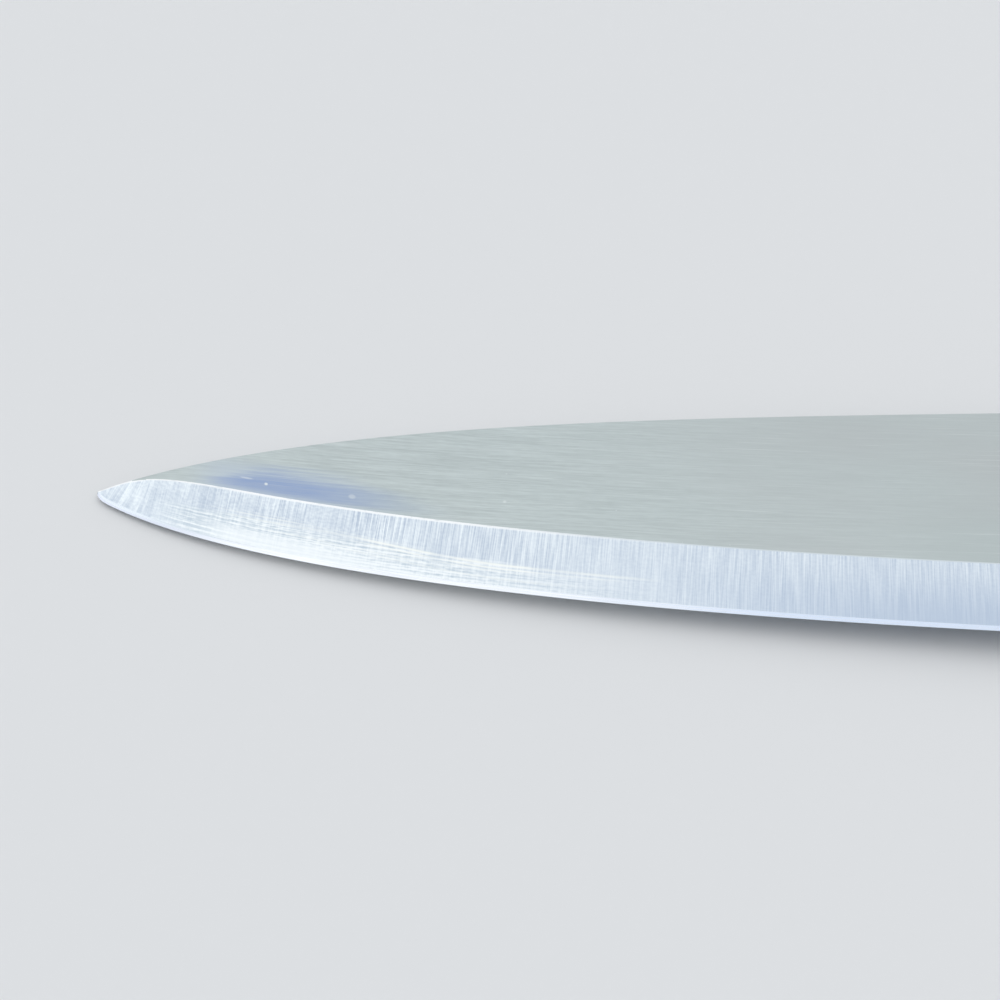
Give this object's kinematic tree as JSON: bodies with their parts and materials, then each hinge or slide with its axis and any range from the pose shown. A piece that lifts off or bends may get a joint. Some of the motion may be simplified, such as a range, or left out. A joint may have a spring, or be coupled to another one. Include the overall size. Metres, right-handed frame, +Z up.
{
  "type": "carving knife",
  "caption": "Carving knife with a wide-bevel steel blade, full tang, pinned bolster and riveted wooden handle scales, for slicing roasts and fish.",
  "frame": {"origin": "on the surface the knife lies on, under the middle of its bounding box", "axes": "+X from the tip to the butt, +Y from the cutting edge to the spine, +Z up, out of the left face"},
  "size_m": [0.382, 0.0452, 0.0203],
  "materials": {
    "blade_steel": "satin flats with fine lengthwise hairlines, bright ground bevels with fine lines across the edge",
    "bolster_steel": "satin, with lines running round the handle",
    "handle_wood": "oiled dark hardwood, grain along the handle",
    "rivet_metal": "ground flush with the scales and satin brushed"
  },
  "bodies": {
    "root": {"blade": "blade_steel", "bolster_left": "bolster_steel", "bolster_right": "bolster_steel", "bolster_pin_upper": "bolster_steel", "bolster_pin_lower": "bolster_steel", "scale_left": "handle_wood", "scale_right": "handle_wood", "rivet_front_sleeve": "rivet_metal", "rivet_front_post": "rivet_metal", "rivet_middle_sleeve": "rivet_metal", "rivet_middle_post": "rivet_metal", "rivet_rear_sleeve": "rivet_metal", "rivet_rear_post": "rivet_metal"}
  },
  "joints": []
}
